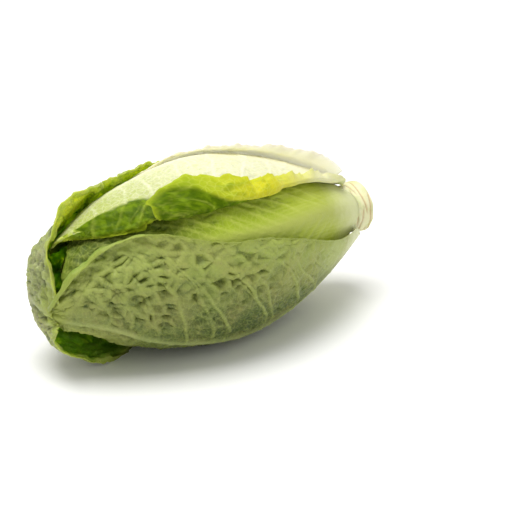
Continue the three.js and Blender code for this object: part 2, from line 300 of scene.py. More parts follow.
def reliefTree():
    make, asked = newGroup("leafRelief", dict.fromkeys((*reliefSizes, "seed"), "Float"))

    def named(name):
        return make.node("GeometryNodeInputNamedAttribute", {"data_type": "FLOAT"}, {"Name": name})

    def store(geometry, name, value):
        settings = {"data_type": "FLOAT", "domain": "POINT"}
        told = {"Geometry": geometry, "Name": name, "Value": value}
        return make.node("GeometryNodeStoreNamedAttribute", settings, told)

    def scaled(vector, factor):
        return make.node("ShaderNodeVectorMath", {"operation": "SCALE"}, {0: vector, 3: factor})

    def over(place, length, width):  # a place reckoned in cells, this long along the head and this wide
        size = make.node("ShaderNodeCombineXYZ", {}, {0: length, 1: width, 2: width})
        return make.vector("DIVIDE", place, size)

    def cells(place, output, feature="F1"):
        told = {"Vector": place, "Scale": 1.0}
        return make.node("ShaderNodeTexVoronoi", {"feature": feature}, told, output)

    def chanceOf(place):  # one number for each cell
        return make.node("ShaderNodeSeparateXYZ", {}, {0: cells(place, "Color")})

    mask, vein = named("relief"), named("vein")
    spot = scaled(make.node("GeometryNodeInputPosition"), 1 / mm)
    shift = make.node("ShaderNodeCombineXYZ", {}, {0: asked["seed"], 1: asked["seed"]})
    sway = make.noise(make.vector("ADD", spot, shift), 1 / asked["warpSize"], 1.0, "Color")
    sway = scaled(make.vector("SUBTRACT", sway, (0.5, 0.5, 0.5)), asked["warp"])
    swayed = make.vector("ADD", spot, sway)
    bare = 1 - vein

    # blisters between raised walls
    place = make.vector("ADD", over(swayed, asked["cellLength"], asked["cellWidth"]), shift)
    edge = cells(place, "Distance", "DISTANCE_TO_EDGE")
    uneven = make.noise(place, 0.45, 1.0).step(0.36, 0.6)
    pit = edge.step(0.0, asked["wall"]) * (0.3 + 0.7 * chanceOf(place)) * (0.4 + 0.6 * uneven)
    hollow = pit * mask * bare
    ridge = (1 - edge.step(0.0, 0.12)) * mask * uneven

    # long dents, creases, and the swell and grain of the whole sheet
    dashPlace = make.vector("ADD", over(swayed, asked["dashLength"], asked["dashWidth"]), shift)
    dash = (1 - cells(dashPlace, "Distance").step(0.08, 0.45)) * chanceOf(dashPlace).step(0.5, 0.75)
    dash = dash * mask * bare
    foldPlace = make.vector("ADD", over(swayed, asked["creaseSize"] * 1.6, asked["creaseSize"]), shift)
    nearFold = make.math("ABSOLUTE", make.noise(foldPlace, 1.0, 1.0) - 0.5)
    crease = (1 - nearFold.step(0.0, 0.09)) * make.noise(spot, 0.06, 1.0).step(0.4, 0.6)
    crease = crease * mask * bare
    swell = make.noise(spot, 1 / asked["swellSize"])
    fine = make.noise(spot, 1 / asked["fineSize"])
    height = ridge * asked["ridgeHeight"] - hollow * asked["hollowDepth"] + vein * asked["veinHeight"]
    height = height - dash * asked["dashDepth"] - crease * asked["creaseDepth"]
    height = height + ((swell - 0.5) * asked["swellHeight"] + (fine - 0.5) * asked["fineHeight"]) * mask

    offset = scaled(make.node("GeometryNodeInputNormal"), height * mm)
    # pits, dents and creases, which the material darkens: partly their own deeper green, partly painted shade
    sheet = store(asked["Geometry"], "hollow", (hollow * 0.6).larger(dash).larger(crease * 0.6))
    sheet = store(sheet, "ridge", (ridge * 0.3).larger(vein))
    sheet = make.node("GeometryNodeSetPosition", {}, {"Geometry": sheet, "Offset": offset})
    return endGroup(sheet, asked["material"])


def runTree(obj, tree, values):  # the modifier's result as a plain mesh, with the modifier gone again
    modifier = obj.modifiers.new(tree.name, "NODES")
    modifier.node_group = tree
    for item in tree.interface.items_tree:
        if item.in_out == "INPUT" and item.name in values:
            modifier[item.identifier] = values[item.name]
    graph = bpy.context.evaluated_depsgraph_get()
    result = bpy.data.meshes.new_from_object(obj.evaluated_get(graph), depsgraph=graph)
    obj.modifiers.remove(modifier)
    return result


# ---- what every leaf has, where its own dictionary says nothing else ----
anyLeaf = {
    "round": 0.05, "wave": 0.3, "waves": 5, "tipShift": (0, 0, 0), "sag": 0,
    "halfColumns": 60, "rows": 110, "flapColumns": 0.35, "crowding": 0.85,  # rows crowd a little at the tip
    "insideStep": 2,  # the inside has every second point
    "skin": 0.25,  # how far each face keeps from the sheet
    "blade": 0.45, "margin": 0.25, "thinning": (4.0, 0.5),  # thickness, and what is left of it at the margin
    "ribHeight": 1.4, "ribLeast": 0.35, "ribWidth": (9.0, 2.2),  # the midrib, at the root and at the tip
    "veinSpacing": 16.0, "veinRise": 30.0, "veinLean": 0.3, "veinWidth": 0.85,
    "veinSpan": 30.0, "veinWander": 2.4, "veinBend": 60, "veinPulse": 40,  # least span, and how a vein strays
    "frill": 0.8, "frills": 7.0, "frillTo": 2.0, "foldFrill": 0.0, "ragged": 0.6, "bites": 23,
    "bandTop": 0, "bandStep": 0,
    "reliefFrom": (0.1, 0.4), "ribClear": (3.0, 14.0), "reliefTip": 1.0, "foldRelief": 0.0, "liftPower": 3,
    "cellLength": 9.0, "cellWidth": 6.0, "warp": 9.0, "warpSize": 16.0, "wall": 0.3, "hollowDepth": 1.5,
    "ridgeHeight": 0.15, "swellSize": 11.0, "swellHeight": 3.6,
    "dashLength": 13.0, "dashWidth": 4.5, "dashDepth": 1.3, "creaseSize": 9.0, "creaseDepth": 0.9,
    "veinHeight": 0.45, "fineSize": 3.0, "fineHeight": 0.7,
}
relief = reliefTree()


def addAttribute(mesh, name, values):
    values = np.asarray(values, np.float32)
    if values.ndim == 1:
        mesh.attributes.new(name, "FLOAT", "POINT").data.foreach_set("value", values)
    else:
        mesh.attributes.new(name, "FLOAT_VECTOR", "POINT").data.foreach_set("vector", values.ravel())


def readAttribute(mesh, name):
    values = np.zeros(len(mesh.vertices), np.float32)
    mesh.attributes[name].data.foreach_get("value", values)
    return values


def meshOf(name, points, faces):
    mesh = bpy.data.meshes.new(name)
    mesh.from_pydata(np.asarray(points).reshape(-1, 3).tolist(), [], faces)
    mesh.update()
    return mesh


def newObject(name, data):
    made = bpy.data.objects.new(name, data)
    bpy.context.collection.objects.link(made)
    return made


def placePiece(name, mesh, material):
    mesh.materials.clear()
    mesh.materials.append(material)
    mesh.shade_smooth()
    return newObject(name, mesh)


def dressNode(piece, node, slot):
    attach(piece, "root")
    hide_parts(node)
    print("stage:", piece.name, len(piece.data.polygons), "faces")


def gridFaces(rows, wide):
    first = (np.arange(rows - 1)[:, None] * wide + np.arange(wide - 1)[None, :]).ravel()
    return np.stack([first, first + 1, first + wide + 1, first + wide], -1)


def gridBorder(rows, wide):  # round the sheet, the way its outward faces turn
    last = (rows - 1) * wide
    near = np.arange(wide)
    right = np.arange(1, rows) * wide + wide - 1
    far = last + np.arange(wide - 2, -1, -1)
    left = np.arange(rows - 2, 0, -1) * wide
    return np.concatenate([near, right, far, left])


# a closed leaf: a fine outside, an inside that takes every step-th point, and a margin between them
def shellOf(name, outer, inner, step):
    rows, wide = outer.shape[:2]
    count = rows * wide
    picked = np.arange(count).reshape(rows, wide)[::step, ::step]
    faces = gridFaces(rows, wide).tolist()
    faces += (gridFaces(*picked.shape)[:, ::-1] + count).tolist()
    border, insideBorder = gridBorder(rows, wide), gridBorder(*picked.shape) + count
    for k, corner in enumerate(insideBorder):
        after = insideBorder[(k + 1) % len(insideBorder)]
        edge = [border[(k * step + i) % len(border)] for i in range(step, -1, -1)]
        faces.append([int(corner), int(after), *map(int, edge)])
    points = np.concatenate([outer.reshape(-1, 3), inner.reshape(-1, 3)[picked.ravel()]])
    return meshOf(name, points * mm, faces), picked.ravel()


def sideVeins(leaf, s, t, ribLength):  # how near each point is to a side vein
    span = np.maximum(np.abs(s).max(axis=1, keepdims=True), leaf["veinSpan"])
    reach = np.abs(s) / span
    curve = leaf["veinRise"] * reach**2.3 + leaf["veinLean"] * np.abs(s)
    slope = np.hypot(1.0, leaf["veinLean"] + 2.3 * leaf["veinRise"] * reach**1.3 / span)
    rng = np.random.default_rng(leaf["seed"])
    strength = np.zeros_like(s)
    width = leaf["veinWidth"] * mix(1.3, 0.6, clamp01(reach))
    for side in (-1, 1):
        mine = s * side > 0
        for k in range(int(ribLength / leaf["veinSpacing"]) + 3):
            seed = leaf["seed"] * 131 + k + 50 * (side > 0)
            start = leaf["veinSpacing"] * (k - 1.5 + 0.5 * (side > 0) + rng.uniform(-0.35, 0.35))
            wander = leaf["veinWander"] * ripple(np.abs(s) / leaf["veinBend"], seed)
            start = start + wander + curve * rng.uniform(-0.2, 0.25)
            pulse = clamp01(0.9 + 0.4 * ripple(np.abs(s) / leaf["veinPulse"], seed + 7))
            strong = rng.uniform(0.55, 1.0) * pulse
            forkAt, forkSlant = rng.uniform(0.25, 0.6), rng.uniform(-0.7, 0.7)
            fork = start + forkSlant * span * np.maximum(reach - forkAt, 0)
            for line, share, shrink, fades in ((start, 1.0, 1.0, 1.0), (fork, 0.6, 0.7, 0.9)):
                distance = np.abs(t - curve - line) / slope
                near = np.exp(-(distance / (width * shrink)) ** 2)
                near = mine * strong * share * near * (1 - smooth(0.7, fades, reach))
                strength = np.maximum(strength, near)
    return strength


def frayed(leaf, u, v, points, normals, along, folded):  # free margins wave, and their edge is ragged
    a, side, seed = np.abs(u), np.where(u < 0, -1.0, 1.0), leaf["seed"] * 7
    frill = leaf["frill"] * a**8 * smooth(0.06, 0.25, v)
    frill = frill * (1 - smooth(leaf["frillTo"] - 0.12, leaf["frillTo"], v)) + leaf["foldFrill"] * folded
    frill = frill * ripple(v * leaf["frills"] + 0.13 * side, seed + 1)

    # a turned-back margin overlaps the band of leaf under it with a small step
    top = leaf["bandTop"](along)
    bandShown = smooth(flatShare, bandFrom, top)
    band = (u < -flatShare) * (1 - smooth(top - 0.012, top + 0.012, a)) * bandShown
    step = leaf["bandStep"] * smooth(flatShare, bandStepTo, a) * (band - 1) * (u < 0) * (top < 1) * bandShown
    points = points + normals * (frill + step)[..., None]
    inward = unit(np.roll(points, 1, axis=1) - np.roll(points, -1, axis=1)) * side[..., None]
    inward[:, [0, -1]] = inward[:, [1, -2]]
    bite = ripple(v * leaf["bites"] + 0.37 * side, seed + 2, (1, 2.7, 5.3)) * a**14 * smooth(0.05, 0.2, v)
    return points + inward * (leaf["ragged"] * bite)[..., None], band


def overLeaf(points):  # how far each point lies from the midrib and from the root, over the leaf itself
    middle = points.shape[1] // 2
    s = np.cumsum(np.linalg.norm(np.diff(points, axis=1), axis=-1), axis=1)
    s = np.concatenate([np.zeros((len(points), 1)), s], axis=1)
    s = s - s[:, middle:middle + 1]
    climb = np.linalg.norm(np.diff(points[:, middle], axis=0), axis=-1)
    t = np.concatenate([[0.0], np.cumsum(climb)])[:, None] + 0 * s
    return s, t, climb.sum()


def blistered(leaf, points, normals, masks, material):  # the sheet with its relief, and the face under it
    rows, wide = points.shape[:2]
    sheet = meshOf(leaf["name"] + "Sheet", points * mm, gridFaces(rows, wide).tolist())
    for name, values in masks.items():
        addAttribute(sheet, name, values.ravel())
    rough = newObject(leaf["name"] + "Sheet", sheet)
    values = {name: float(leaf[name]) for name in reliefSizes}
    raised = runTree(rough, relief, {**values, "seed": leaf["seed"] * 3.7, "material": material})
    shaped = np.zeros(points.size, np.float32)
    raised.vertices.foreach_get("co", shaped)
    shaped = shaped.reshape(points.shape) / mm
    raisedBy = ((shaped - points) * normals).sum(-1)
    around = np.pad(raisedBy, 2, mode="edge")  # the inside keeps under the deepest hollow near it
    lowest = np.min([around[j:j + rows, i:i + wide] for j in range(5) for i in range(5)], axis=0)
    grown = {name: readAttribute(raised, name) for name in ("hollow", "ridge")}
    bpy.data.objects.remove(rough)
    bpy.data.meshes.remove(sheet)
    bpy.data.meshes.remove(raised)
    return shaped, points + normals * lowest[..., None], grown


def leafShell(own, material):
    leaf = {**anyLeaf, **own}
    for name in ("depth", "rib", "bandTop"):
        leaf[name] = track(leaf[name])
    detail = 1.0
    us = columnShares(2 * round(leaf["halfColumns"] * detail / 2), leaf["flapColumns"])
    vs = np.linspace(0, 1, 2 * round(leaf["rows"] * detail / 2) + 1) ** leaf["crowding"]
    u, v = np.meshgrid(us, vs)
    points, along, folded = sheetPoints(leaf, u, v)
    normals = gridNormals(points)
    points, band = frayed(leaf, u, v, points, normals, along, folded)
    s, t, length = overLeaf(points)
    rib = np.exp(-((s / mix(*leaf["ribWidth"], np.sqrt(v))) ** 2))
    edge = np.minimum(np.abs(np.where(u < 0, s[:, :1], s[:, -1:])) - np.abs(s), (1 - v) * length)

    # blisters keep clear of the root and the midrib, and are shallow at the margin
    clear = smooth(*leaf["ribClear"], np.abs(s) * (1 + 1.5 * smooth(0.5, 1, v)))
    clear = clear * smooth(*leaf["reliefFrom"], along) * (1 - 0.75 * smooth(0.93, 1, np.abs(u)))
    clear = clear * mix(0.8, leaf["reliefTip"], smooth(0.35, 0.85, along)) * (1 + leaf["foldRelief"] * folded)
    masks = {"relief": clear, "vein": sideVeins(leaf, s, t, length) * smooth(0.02, 0.2, v)}
    shaped, hidden, grown = blistered(leaf, points, normals, masks, material)

    # both faces of the blade, closed round the margin and pressed flat where the head lies
    thick = mix(leaf["blade"], leaf["margin"], smooth(*leaf["thinning"], edge))
    above = thick + (leaf["ribHeight"] * (1 - v) ** 1.2 + leaf["ribLeast"]) * rib
    outer = shaped + gridNormals(shaped) * (leaf["skin"] + above)[..., None]
    inner = hidden + gridNormals(hidden) * leaf["skin"]
    outer[..., 2] = np.maximum(0, outer[..., 2] - head["pressed"])
    inner[..., 2] = np.maximum(above, inner[..., 2] - head["pressed"])
    mesh, picked = shellOf(own["name"], outer + headShift, inner + headShift, leaf["insideStep"])
    layers = {"across": u, "alongLeaf": v, "rib": rib, "edge": edge, "band": band, **grown}
    for name, values in {**layers, "leafPlace": np.stack([s, t, 0 * s], -1)}.items():
        values = values.reshape(u.size, -1).squeeze()
        addAttribute(mesh, name, np.concatenate([values, values[picked]]))
    addAttribute(mesh, "inside", np.repeat([0, 1], [u.size, len(picked)]))
    return mesh


def makeLeaf(own, material):
    dressNode(placePiece(own["name"], leafShell(own, material), material), own["node"], own["slot"])


# ---- leaf finish ----
anyLook = {
    "root": "dfe0a8", "blade": "9fb066", "tip": "8da457", "vein": "c3cf90", "hollow": "5f7433",
    "rootEnd": (0.02, 0.45), "rib": "d5dba4", "ribFade": 0.9,
    "margin": "a9bd4c", "marginWidth": 5.0, "marginShare": 0.8,
    "base": "e3e4b8", "baseShare": 0.7, "baseEnd": (0.0, 0.15),  # the pale foot of a leaf, by the stem
    "inside": "5f8a1e", "insideRoot": "9fb04a", "insideEnd": (0.2, 0.6), "insideShare": 0.6,
    "insideVein": "a4b94e", "insideHollowShade": "4f6a14",
    "insideLowLight": None,  # painted light inside, on the low side, for light let through the blade
    "mottle": "b7a77a", "mottleShare": 0.0, "streakShare": 0.25,
    "ribSideShade": "5f7226", "ribSideShadeShare": 0.0,  # painted shade near the midrib
    "light": "a9b75c", "paintedLightShare": 0.0,  # painted light far from it
    "hang": None, "hangFrom": (0.68, 0.76),  # painted shade on a hanging margin, and on the band under its fold
    "facet": "b4c63c", "hangTo": (0.955, 0.965),  # the colour of its tip, where the painted shade stops
    "veinShare": 0.5, "hollowShadeShare": 0.7, "netShare": 0.22, "netSize": 3.2, "netBump": 0.2,
    "grainShare": 0.3, "grainBump": 0.3, "shine": 0.3, "roughness": 0.45,
    "glow": 0.1, "glowDepth": 0.002, "glowTint": (0.8, 1.0, 0.25),  # light let through the blade
}


def leafMaterial(name, own):
    look = {**anyLook, **own}
    material, make = newMaterial(name)
    place = make.layer("leafPlace", "Vector")

    def noise(scale, detail, output=0):
        return make.noise(place, scale, detail, output)

    def turned(tone, name, share):  # the tone so far, turning into one of the look's colours
        return make.blend(tone, colourOf(look[name]), share)

    along, across, edge, inside = map(make.layer, ("alongLeaf", "across", "edge", "inside"))
    ridge, hollow, rib = map(make.layer, ("ridge", "hollow", "rib"))
    patches, flecks, grain = noise(0.035, 3.0), noise(0.22, 4.0), noise(1.1, 3.0)
    fleck, speck = flecks - 0.5, grain - 0.5
    netPlace = make.vector("ADD", place, make.vector("MULTIPLY", noise(0.3, 2.0, "Color"), (2.5, 2.5, 0.0)))
    settings = {"voronoi_dimensions": "2D", "feature": "DISTANCE_TO_EDGE"}
    told = {"Vector": netPlace, "Scale": 1 / look["netSize"]}
    net = 1 - make.node("ShaderNodeTexVoronoi", settings, told, "Distance").step(0.0, 0.16)

    # the ground colour, from root to tip
    grown = (along + (patches - 0.5) * 0.35).step(*look["rootEnd"])
    tone = turned(colourOf(look["root"]), "blade", grown)
    tone = turned(tone, "tip", (along + fleck * 0.25).step(0.5, 0.95))
    # painted shade near the midrib, and painted light far from it on the high side
    nearRib = 1 - make.math("ABSOLUTE", across).step(0.1, 0.65)
    tone = turned(tone, "ribSideShade", nearRib * (1 - along.step(0.4, 1.0) * 0.5) * look["ribSideShadeShare"])
    tone = turned(tone, "light", across.step(0.3, 0.8) * look["paintedLightShare"])
    streaks = make.noise(make.vector("MULTIPLY", place, (0.9, 0.04, 0.0)), 1.0).step(0.4, 0.65)
    tone = turned(tone, "vein", streaks * (1 - along.step(0.2, 0.6)) * look["streakShare"])
    mottle = patches.step(0.42, 0.62) * 0.7 + flecks.step(0.5, 0.7) * 0.5
    tone = turned(tone, "mottle", mottle * look["mottleShare"])

    # painted shade on a hanging margin and the band under its fold, quiet where few veins show; and the
    # inside
    paintedShade, veinTurn = 0.0, inside
    if look["hang"]:
        # painted shade on the hanging margin where it turns down, short of its tip
        hang = (-1 * across).step(0.4, 0.5) * along.step(*look["hangFrom"]) * (1 - inside)
        facet = along.step(*look["hangTo"])
        tone = turned(tone, "hang", hang)
        tone = turned(tone, "facet", hang * facet)
        band = make.layer("band")
        paintedShade = (hang * (1 - facet)).larger(band)
        veinTurn = inside.larger(paintedShade)
    within = turned(colourOf(look["insideRoot"]), "inside", along.step(*look["insideEnd"]))
    tone = make.blend(tone, within, inside * grown * look["insideShare"])
    if look["hang"]:
        # the band under the fold takes the same painted shade
        tone = turned(tone, "hang", band)
        tone = turned(tone, "inside", paintedShade * flecks.step(0.38, 0.7) * 0.4)
    if look["insideLowLight"]:
        # painted light on the low side inside, for light let through the blade
        lowSideLight = inside * (-1 * across).step(0.2, 0.6)
        tone = turned(tone, "insideLowLight", lowSideLight * (along.step(0.7, 0.9) * 0.5 + 0.5))

    # hollows, darker partly in their own green and partly with painted shade; veins and their net
    # the pits' colour: partly their own deeper green, partly painted shade
    pitShade = turned(colourOf(look["hollow"]), "insideHollowShade", inside)
    specks = fleck * 0.3 + speck * look["grainShare"]
    tone = make.blend(tone, pitShade, (hollow * look["hollowShadeShare"] + specks) * grown * (1 - paintedShade))
    veins = turned(colourOf(look["vein"]), "insideVein", veinTurn)
    lines = ridge * look["veinShare"] + net * look["netShare"] * grown * (1 - paintedShade)
    shown = (1 - along.step(0.5, 1.0) * 0.3) * (1 - paintedShade * 0.2)
    tone = make.blend(tone, veins, lines * shown)

    # midrib, foot and rim
    tone = turned(tone, "rib", rib * (1.15 - along * look["ribFade"]))
    foot = 1 - (along + fleck * 0.06).step(*look["baseEnd"])
    tone = turned(tone, "base", foot * look["baseShare"])
    rim = 1 - (edge + fleck * 3).step(0.3, look["marginWidth"])
    tone = turned(tone, "margin", rim * grown * look["marginShare"])

    rough = look["roughness"] + fleck * 0.3 - ridge * 0.06 + speck * 0.12
    height = net * look["netBump"] + grain * look["grainBump"] + flecks * 0.4
    return painted(material, {
        "Base Color": tone, "Roughness": rough,
        "Normal": make.node("ShaderNodeBump", {}, {"Strength": 0.6, "Distance": 0.0008, "Height": height}),
        "Subsurface Weight": look["glow"], "Subsurface Radius": look["glowTint"],
        "Subsurface Scale": look["glowDepth"], "Specular IOR Level": look["shine"],
    })


# ---- the outer leaves ----
underLeaf = {
    "name": "underLeaf", "node": "outer_leaf_under", "slot": "green_leaf", "seed": 1,
    "depth": [(0, -2), (0.5, -2), (0.66, -2.2), (0.75, -4.5), (0.85, -8.5), (0.93, -13), (1, -14)],
    "rib": [(0, 222), (0.5, 212), (0.85, 202), (1, 190)],
    "low": leafSide(
        [(0, 165), (0.3, 150), (0.5, 138), (0.62, 131), (0.7, 129), (0.745, 125), (0.785, 110), (0.85, 106),
         (1, 100)],
        lift=[(0.3, 0), (0.7, 1), (0.8, 2), (0.87, 3), (0.93, -4), (1, -3)],
        hang=[(0.78, 0), (0.9, -4), (0.96, -3), (1, 0)],
    ),
    "high": leafSide(
        [(0, 250), (0.3, 246), (0.6, 246), (0.7, 256), (0.78, 268), (0.86, 276), (0.93, 278), (1, 276)],
        lift=[(0.7, 0), (0.88, 2), (1, 0)],
    ),
    "end": 0.997, "round": 0, "ribHeight": 2.0, "tipShift": (7.5, -15, -7), "sag": 3, "wave": 0.5,
    "halfColumns": 144, "rows": 268, "frill": 1.2, "ribWidth": (9.0, 1.6), "ribClear": (1.5, 7.0),
    "hollowDepth": 2.4, "cellLength": 8.0, "cellWidth": 7.0, "reliefTip": 1.6, "warp": 4.5, "warpSize": 13,
    "creaseDepth": 0.4, "fineHeight": 1.0,
}
underLook = {
    "blade": "8c9a55", "tip": "8f9660", "vein": "b3bd7c", "hollow": "4d5630", "hollowShadeShare": 0.9,
    "rib": "b9c27e", "ribFade": 1.1, "margin": "9ca94a", "mottle": "a49a76", "mottleShare": 0.5,
    "grainShare": 0.5, "grainBump": 0.9, "netShare": 0.35,
    "inside": "6a9618", "insideRoot": "7a9c28", "insideShare": 0.95, "insideVein": "7c9a2c",
    # The bright inside colour on the low side is painted light, for light let through the blade.
    "insideLowLight": "ecf258", "glow": 0.65, "glowDepth": 0.006, "glowTint": (0.85, 1.0, 0.3),
}
makeLeaf(underLeaf, leafMaterial("underLeafSkin", underLook))

backLeaf = {
    "name": "backLeaf", "node": "outer_leaf_back", "slot": "cream_leaf", "seed": 2,
    "depth": [(0, 1.2), (0.5, 1.2), (0.7, 1.9)], "rib": [(0, 160), (1, 172)],
    "low": leafSide(
        [(0, 108), (0.1, 92), (0.3, 98), (0.45, 106), (0.6, 130), (0.7, 150)],
        lift=[(0, 3), (0.15, 6.5), (0.35, 3), (0.6, 0.5)],
    ),
    "high": leafSide([(0, 208), (0.4, 222), (0.7, 200)]),
    "end": 0.7, "ribHeight": 1.2, "liftPower": 8, "frill": 1.8, "frillTo": 0.85,
    "halfColumns": 90, "rows": 160, "hollowDepth": 0.6, "swellHeight": 1.4, "creaseDepth": 0.4,
}
backLook = {
    "root": "f6e9ac", "blade": "f6eba4", "tip": "e6e58c", "vein": "faf2bc", "rib": "f8edb4",
    "margin": "fbe6b0", "hollow": "e8da8c", "hollowShadeShare": 0.3, "insideHollowShade": "f4eac4", "netBump": 0.05,
    "inside": "fff4b0", "insideRoot": "fff2b4", "insideVein": "fff8c8", "insideShare": 0.95,
    "glow": 0.8, "glowDepth": 0.006, "glowTint": (1.0, 0.98, 0.85),
}
makeLeaf(backLeaf, leafMaterial("backLeafSkin", backLook))

frontLeaf = {
    "name": "frontLeaf", "node": "outer_leaf_front", "slot": "green_leaf", "seed": 3,
    "depth": [(0, 1.6), (0.5, 2.4), (1, 1.4)],
    "rib": [(0, -64), (0.3, -59), (0.5, -54), (0.8, -47), (0.9, -40), (1, -30)],
    "low": leafSide(
        [(0, -124), (0.3, -131), (0.6, -135), (0.8, -112), (0.92, -94), (0.97, -94), (0.99, -92), (1, -88)],
    ),
    "high": leafSide(
        [(0, -12), (0.15, -2), (0.3, 12), (0.5, 24), (0.65, 31), (0.75, 40), (0.85, 50), (0.94, 53),
         (0.97, 52), (0.99, 48), (1, 42)],
        turn=[(0.45, 0), (0.7, 40), (0.85, 110), (1, 150)],
        flap=[(0.5, 2.6), (1, 2.6)],
    ),
    "end": 0.999, "round": 0.0, "ribHeight": 2.0, "tipShift": (-8, -2, -9.5),
    "halfColumns": 144, "rows": 268, "frill": 0.35, "ragged": 0.25, "ribWidth": (9.0, 1.3),
    "ribClear": (1.5, 7.0), "veinWidth": 0.65, "hollowDepth": 2.0, "reliefTip": 1.4,
    "warp": 4.5, "warpSize": 13, "creaseDepth": 0.5, "fineHeight": 1.0,
}
frontLook = {
    "blade": "64732a", "tip": "a2ad58", "rootEnd": (0.0, 0.3), "rib": "bcc77c", "margin": "98a446",
    "vein": "a5b05a", "veinShare": 0.6, "hollow": "42541f", "hollowShadeShare": 0.75,
    "mottle": "a8a05c", "mottleShare": 0.4,
    # The darker green near the midrib is painted shade on the leaf's lower side; the light green far from it
    # is painted light on its upper side.
    "ribSideShade": "34460c", "ribSideShadeShare": 1.0, "light": "a9b75a", "paintedLightShare": 0.8,
    "grainShare": 0.6, "grainBump": 1.0, "netShare": 0.3, "netSize": 2.8, "glow": 0.06,
}
makeLeaf(frontLeaf, leafMaterial("frontLeafSkin", frontLook))

topLeaf = {
    "name": "topLeaf", "node": "outer_leaf_top", "slot": "pale_leaf", "seed": 4,
    "depth": [(0, 2.4), (0.14, 3.8), (0.5, 4), (0.72, 3.4), (0.84, 1.2), (1, 1.0)],
    "rib": [(0, 104), (0.6, 112), (0.8, 110), (1, 116)],
    "low": leafSide(
        [(0, 66), (0.12, 62), (0.33, 52), (0.5, 47), (0.7, 49), (0.84, 57), (0.91, 72), (0.97, 108)],
        turn=[(0.04, 0), (0.14, 160), (0.62, 160), (0.7, 135), (0.76, 60), (0.8, 0)],
        flap=[(0.1, 3), (0.3, 5), (0.42, 7), (0.5, 9), (0.56, 14), (0.62, 18), (0.68, 15), (0.73, 8),
              (0.78, 2)],
        lean=[(0.5, 0), (0.6, 0.03), (0.69, 0.08), (0.74, 0.03), (0.76, 0)],
        hang=[(0.74, 0), (0.82, 2), (0.97, 2)],
    ),
    "high": leafSide([(0, 150), (0.4, 166), (0.8, 172), (1, 160)]),
    "end": 0.968, "round": 0.03, "tipShift": (-8, -2, 9),
    "halfColumns": 144, "rows": 268, "flapColumns": 0.5, "hollowDepth": 0.5, "swellHeight": 1.8,
    "creaseDepth": 0.3, "dashDepth": 0.5, "veinHeight": 0.25, "veinWidth": 0.65,
    "foldFrill": 1.8, "frills": 9, "foldRelief": 1.5, "bandStep": 1.2,
    "bandTop": [(0.36, 0.7), (0.42, 0.76), (0.48, 0.79), (0.53, 0.82), (0.58, 0.87), (0.63, 0.95), (0.66, 1)],
}
topLook = {
    "root": "e9e6c0", "blade": "d8d8b0", "tip": "a9b45e", "vein": "f0f0d4", "rib": "f0f0ca",
    "hollow": "bcc480", "hollowShadeShare": 0.5, "margin": "b5bf2a", "marginShare": 0.4,
    "inside": "8eaa14", "insideRoot": "d0ca18", "insideEnd": (0.45, 0.73), "insideShare": 0.97,
    # The hanging colour is painted shade on the turned-down margin and on the band under the fold.
    "insideVein": "cfd85c", "insideHollowShade": "6c8a0e", "hang": "486200", "hangFrom": (0.6, 0.7),
    "netShare": 0.3, "netBump": 0.1, "glow": 0.2, "shine": 0.06,
}
makeLeaf(topLeaf, leafMaterial("topLeafSkin", topLook))

middleLeaf = {
    "name": "middleLeaf", "node": "middle_leaf", "slot": "middle_leaf", "seed": 5,
    "depth": [(0, 3.6), (0.14, 6.8), (1, 6.8)], "rib": [(0, 30), (0.5, 27), (1, 40)],
    "low": leafSide([(0, -30), (0.4, -55), (0.8, -60), (1, -40)]),
    "high": leafSide([(0, 86), (0.4, 98), (0.8, 110), (1, 120)]),
    "end": 0.99, "round": 0.06, "tipShift": (-9, 2, 2),
    "halfColumns": 90, "rows": 160, "hollowDepth": 0.8, "swellHeight": 2.2,
    "veinSpacing": 11.0, "veinRise": 20.0, "veinLean": 1.7, "veinWidth": 0.6, "veinHeight": 0.3,
}
middleLook = {
    # The dark tip colour is painted shade, where this leaf runs under the top leaf's hanging band.
    "root": "b4c238", "blade": "a4b92e", "tip": "4c5c14", "rootEnd": (0.05, 0.5), "rib": "b0b85c",
    "vein": "ccd666", "hollow": "5f7826", "streakShare": 0.4, "netBump": 0.1, "shine": 0.15,
    "margin": "7f9232", "marginShare": 0.5, "marginWidth": 3.0,
}
makeLeaf(middleLeaf, leafMaterial("middleLeafSkin", middleLook))

# ---- the inner leaves: each one follows the last by the golden angle, and lies deeper ----
innerLeaf = {
    "count": 6, "firstRib": 30, "depth": 9.4, "spacing": 2.9,
    "halfTurn": [(0, 55), (0.4, 80), (0.8, 88), (1, 70)],  # how far round it reaches, to either side
}
innerLook = {
    "root": "e2e2a8", "blade": "a5b755", "tip": "86a040", "rootEnd": (0.2, 0.8), "rib": "e0e2ae",
    "vein": "c9d187", "hollow": "78903a",
}
innerSkin = leafMaterial("innerLeafSkin", innerLook)
for k in range(innerLeaf["count"]):
    rib = innerLeaf["firstRib"] + goldenAngle * (k + 1)
    makeLeaf({
        "name": f"innerLeaf{k + 1}", "node": f"inner_leaf_{k + 1}", "slot": "inner_leaf", "seed": 6 + k,
        "depth": innerLeaf["depth"] + innerLeaf["spacing"] * k, "rib": rib,
        "low": leafSide([(share, rib - turn) for share, turn in innerLeaf["halfTurn"]]),
        "high": leafSide([(share, rib + turn) for share, turn in innerLeaf["halfTurn"]]),
        "end": 0.97 - 0.012 * (k * 2 % 3), "ribHeight": 1.1, "tipShift": (-3.7 - 0.7 * k, 0, 0),
        "halfColumns": 40, "rows": 70, "hollowDepth": 0.8,
    }, innerSkin)


